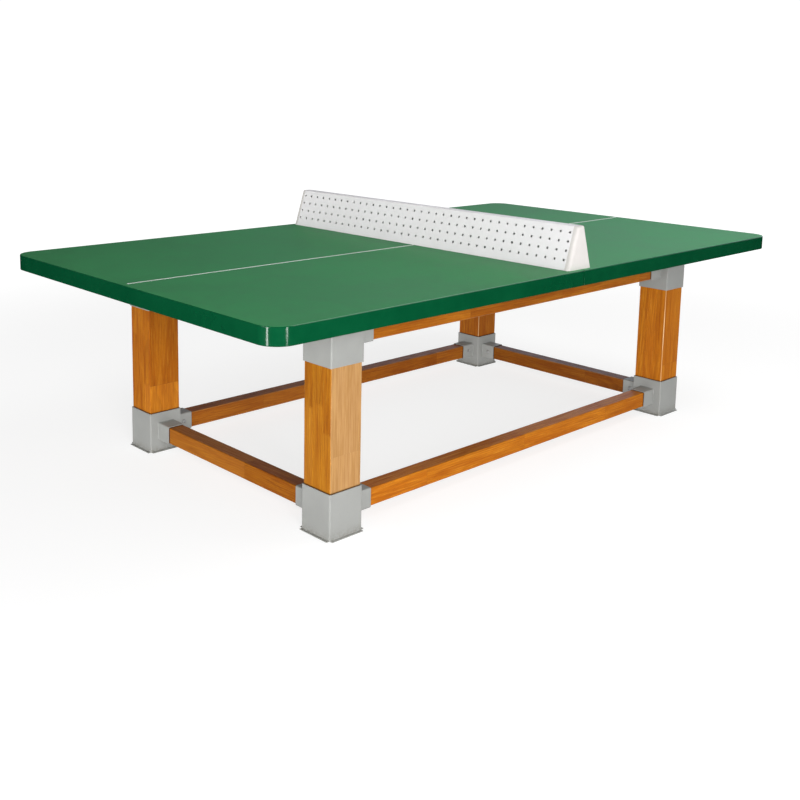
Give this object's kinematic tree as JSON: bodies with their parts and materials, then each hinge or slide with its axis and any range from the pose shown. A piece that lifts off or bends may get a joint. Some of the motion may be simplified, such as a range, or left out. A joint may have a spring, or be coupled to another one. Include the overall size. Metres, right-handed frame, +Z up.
{
  "type": "table tennis table",
  "caption": "Outdoor table tennis table with a moulded green top, a fixed perforated steel net, and square timber posts and rails held in folded steel brackets.",
  "frame": {"origin": "ground level under the centre of the table", "axes": "+X along the table's length, +Y across the table along the net, +Z up; the front is -Y and the left is -X"},
  "size_m": [2.74, 1.525, 0.9125],
  "materials": {
    "top_gelcoat": "glossy moulded green gelcoat, lightly mottled, soft sheen on the playing surface",
    "line_white": "matt white line laid into the surface",
    "net_paint": "satin off-white powder coat with fine orange peel",
    "timber": "stained and varnished laminated timber, straight grain, satin",
    "bracket_paint": "satin light grey powder coat over galvanised steel",
    "fixing_steel": "stainless fixings",
    "insert_brass": "turned brass"
  },
  "bodies": {
    "root": {"top_half_left": "top_gelcoat", "top_half_right": "top_gelcoat", "centre_line_left": "line_white", "centre_line_right": "line_white", "net_panel": "net_paint", "net_end_front": "net_paint", "net_end_rear": "net_paint", "net_studs": "fixing_steel", "net_clamp_plates": "bracket_paint", "net_washers": "fixing_steel", "net_nuts": "fixing_steel", "post_front_left": "timber", "post_front_right": "timber", "post_rear_left": "timber", "post_rear_right": "timber", "shoe_front_left": "bracket_paint", "shoe_front_right": "bracket_paint", "shoe_rear_left": "bracket_paint", "shoe_rear_right": "bracket_paint", "cap_front_left": "bracket_paint", "cap_front_right": "bracket_paint", "cap_rear_left": "bracket_paint", "cap_rear_right": "bracket_paint", "rail_lower_front": "timber", "rail_lower_rear": "timber", "rail_lower_left": "timber", "rail_lower_right": "timber", "rail_upper_front": "timber", "rail_upper_rear": "timber", "rail_upper_left": "timber", "rail_upper_right": "timber", "rail_screws_lower": "fixing_steel", "rail_screws_upper": "fixing_steel", "post_screws_lower": "fixing_steel", "post_screws_upper": "fixing_steel", "top_bolts": "fixing_steel", "top_washers": "fixing_steel", "top_inserts": "insert_brass", "seam_bolts": "fixing_steel", "seam_washers": "fixing_steel", "seam_nuts": "fixing_steel"}
  },
  "joints": []
}
